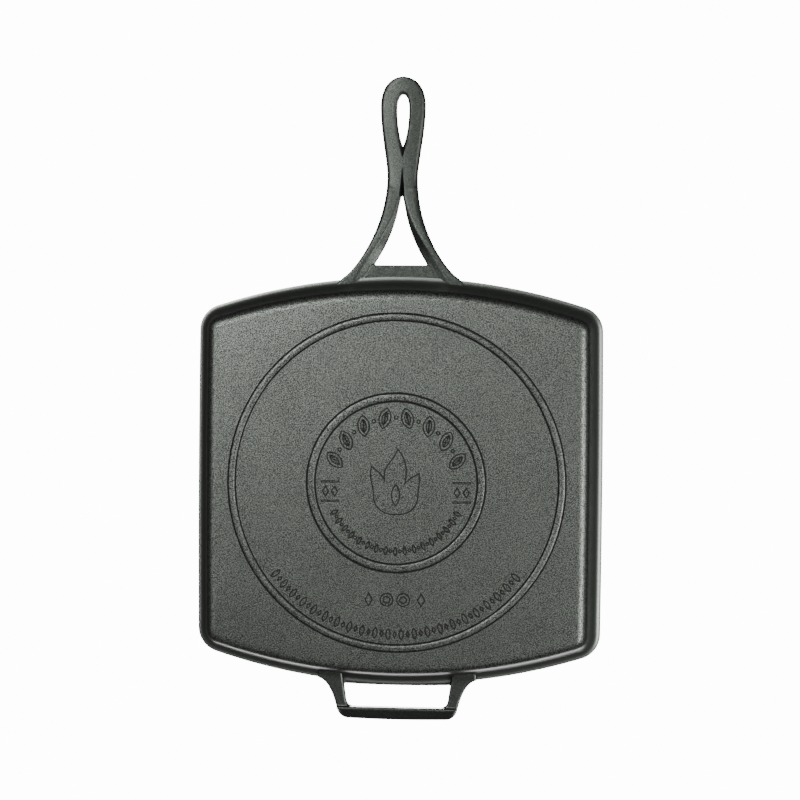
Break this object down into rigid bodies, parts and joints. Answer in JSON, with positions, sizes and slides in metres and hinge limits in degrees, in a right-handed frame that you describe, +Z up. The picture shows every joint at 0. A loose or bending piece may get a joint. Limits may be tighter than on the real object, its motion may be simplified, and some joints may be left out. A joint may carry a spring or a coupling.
{
  "type": "cast iron skillet",
  "caption": "Shallow, nearly square cast iron skillet with bowed sides, forked long handle with a hanging hole, and a helper handle.",
  "frame": {"origin": "middle of the whole object's length and width, on the surface that the heat ring stands on", "axes": "+Z up through the cooking face, +Y along the long handle towards its hanging hole, +X to the left of a cook who holds the long handle"},
  "size_m": [0.305, 0.4842, 0.0437],
  "materials": {
    "sand_cast_iron": "sand-cast grain under baked-on oil seasoning, low satin",
    "smooth_iron": "fine-grained casting under baked-on oil seasoning, satin"
  },
  "bodies": {
    "root": {"cooking_floor": "sand_cast_iron", "heat_ring": "sand_cast_iron", "side_wall": "smooth_iron", "rim": "smooth_iron", "handle_root_web": "sand_cast_iron", "handle_left_strut": "sand_cast_iron", "handle_right_strut": "sand_cast_iron", "handle_neck": "sand_cast_iron", "handle_loop": "sand_cast_iron", "helper_ledge": "smooth_iron", "helper_left_leg": "smooth_iron", "helper_right_leg": "smooth_iron", "helper_grip": "sand_cast_iron"}
  },
  "joints": []
}
